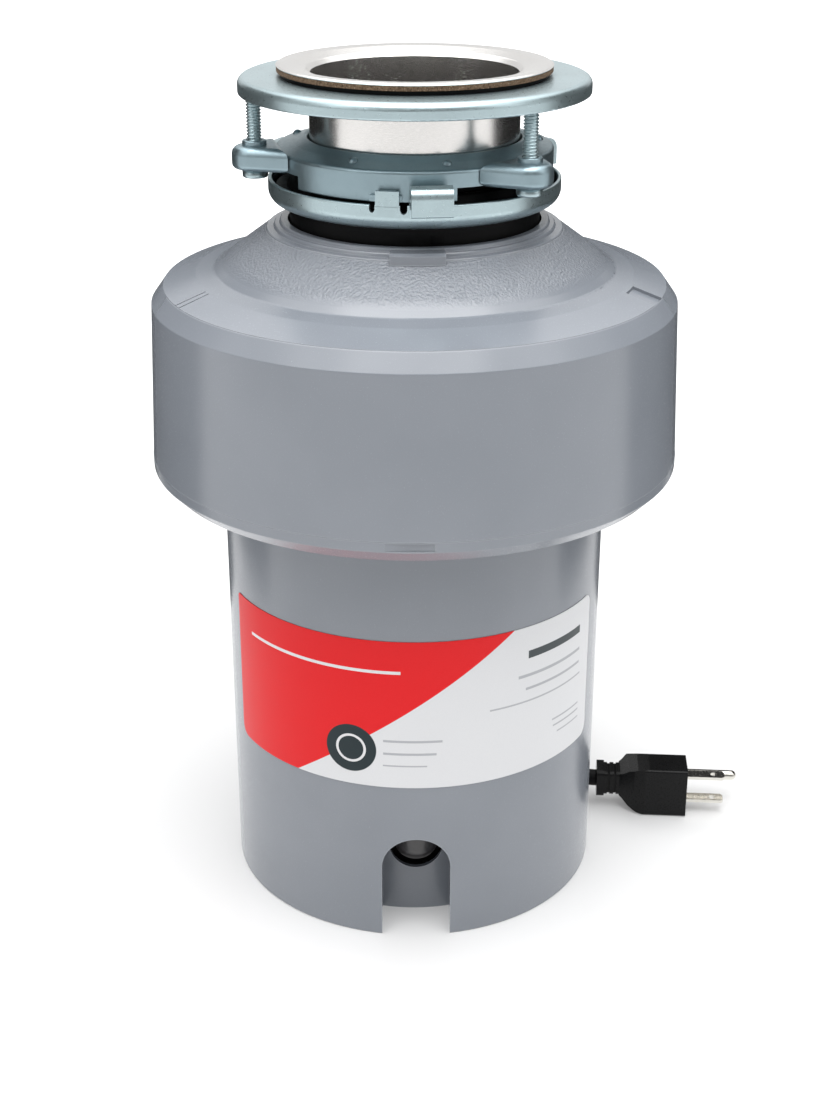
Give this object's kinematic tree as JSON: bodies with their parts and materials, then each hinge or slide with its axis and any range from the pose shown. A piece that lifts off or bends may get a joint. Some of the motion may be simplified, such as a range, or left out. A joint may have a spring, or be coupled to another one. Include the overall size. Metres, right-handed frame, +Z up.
{
  "type": "kitchen garbage disposal",
  "caption": "Under-sink food waste disposer: grey two-tier casing, plated quick-lock sink mount, grinding plate, motor and corded plug.",
  "frame": {"origin": "on the motor axis, at the bottom rim of the lower housing", "axes": "+Z up along the motor axis towards the sink; -Y is the front with the label and the alcove; the discharge outlet, dishwasher inlet and cord are at +Y"},
  "size_m": [0.2715, 0.345, 0.3605],
  "materials": {
    "stainless": "brushed, soft reflections",
    "fiber": "brown pressed fibre",
    "black_rubber": "matte moulded rubber",
    "zinc_plate": "clear zinc plating with a blue-green tint",
    "zinc_cast": "plated die casting, satin",
    "grey_casing": "moulded grey plastic, satin",
    "grey_textured": "moulded grey plastic, fine texture on the cone",
    "label_print": "coated label, red and white, no lettering",
    "foam": "expanded foam",
    "chamber_plastic": "glass filled plastic",
    "aluminium_cast": "as cast",
    "steel": "bright steel",
    "laminations": "oiled lamination stack",
    "copper_windings": "varnished copper wire",
    "bronze": "oil filled bronze",
    "black_plastic": "moulded black plastic",
    "dark_button": "dark button",
    "cord_jacket": "black cord jacket",
    "blade_metal": "nickel plated brass",
    "green_steel": "green ground screw"
  },
  "bodies": {
    "housing": {"sink_flange": "stainless", "fiber_gasket": "fiber", "rubber_gasket": "black_rubber", "backup_flange": "zinc_plate", "mounting_ring": "zinc_cast", "snap_ring": "steel", "cushion_mount": "black_rubber", "splash_baffle": "black_rubber", "neck_collar": "grey_casing", "upper_cover": "grey_textured", "front_band": "grey_casing", "waist_ring": "grey_casing", "lower_housing": "grey_casing", "label": "label_print", "bottom_cover": "black_plastic", "bottom_cover_screws": "steel", "insulation_upper": "foam", "insulation_lower": "foam", "grind_container": "chamber_plastic", "shredder_ring": "stainless", "container_gasket": "black_rubber", "clamp_band": "steel", "drain_chamber": "aluminium_cast", "shaft_seal": "black_rubber", "upper_bearing": "bronze", "lower_bearing": "bronze", "thrust_washer": "bronze", "stator": "laminations", "windings": "copper_windings", "lower_end_bell": "aluminium_cast", "through_bolts": "steel", "start_switch": "black_plastic", "overload_protector": "black_plastic", "terminal_block": "black_plastic", "ground_screw": "green_steel", "cord_gland": "black_plastic", "cord_exit_run": "cord_jacket", "cord_coil": "cord_jacket", "cord_tie": "black_plastic", "cord_plug_run": "cord_jacket", "plug_body": "black_plastic", "plug_blades": "blade_metal", "plug_ground_pin": "blade_metal"},
    "rotating_group": {"motor_shaft": "steel", "rotor": "aluminium_cast", "turntable": "stainless", "turntable_nut": "steel", "impeller_pins": "steel", "slinger": "black_rubber"},
    "impeller_a": {"impeller_a": "stainless"},
    "impeller_b": {"impeller_b": "stainless"},
    "governor": {"governor_collar": "black_plastic"},
    "switch_lever": {"switch_lever": "bronze"},
    "lock_ring": {"lower_mounting_ring": "zinc_plate"},
    "reset_button": {"reset_button": "dark_button"},
    "screw_left": {"mounting_screw_left": "zinc_plate"},
    "screw_right": {"mounting_screw_right": "zinc_plate"},
    "screw_rear": {"mounting_screw_rear": "zinc_plate"}
  },
  "joints": [
    {"name": "rotor_spin", "type": "hinge", "parent": "housing", "child": "rotating_group", "pos_m": [0, 0, 0.1], "axis": [0, 0, 1], "continuous": true},
    {"name": "impeller_a_swivel", "type": "hinge", "parent": "rotating_group", "child": "impeller_a", "pos_m": [0.04, 0, 0.205], "axis": [0, 0, 1], "continuous": true},
    {"name": "impeller_b_swivel", "type": "hinge", "parent": "rotating_group", "child": "impeller_b", "pos_m": [-0.04, 0, 0.205], "axis": [0, 0, 1], "continuous": true},
    {"name": "governor_slide", "type": "slide", "parent": "rotating_group", "child": "governor", "axis": [0, 0, 1], "range_m": [0, 0.003]},
    {"name": "switch_lever_lift", "type": "hinge", "parent": "housing", "child": "switch_lever", "pos_m": [0.031, 0, 0.0563], "axis": [0, 1, 0], "range_deg": [0, 15]},
    {"name": "lock_ring_turn", "type": "hinge", "parent": "housing", "child": "lock_ring", "pos_m": [0, 0, 0.31], "axis": [0, 0, 1], "range_deg": [-35, 0]},
    {"name": "reset_press", "type": "slide", "parent": "housing", "child": "reset_button", "axis": [0, 1, 0], "range_m": [0, 0.002], "stiffness_N_per_m": 600, "springref_m": -0.001},
    {"name": "screw_left_turn", "type": "hinge", "parent": "housing", "child": "screw_left", "pos_m": [-0.06385, -0.01415, 0.33], "axis": [0, 0, 1], "continuous": true},
    {"name": "screw_right_turn", "type": "hinge", "parent": "housing", "child": "screw_right", "pos_m": [0.04376, -0.0486, 0.33], "axis": [0, 0, 1], "continuous": true},
    {"name": "screw_rear_turn", "type": "hinge", "parent": "housing", "child": "screw_rear", "pos_m": [0.02021, 0.0622, 0.33], "axis": [0, 0, 1], "continuous": true}
  ],
  "couplings": [
    {"joint": "switch_lever_lift", "follows": "governor_slide", "rad_per_m": 70}
  ]
}
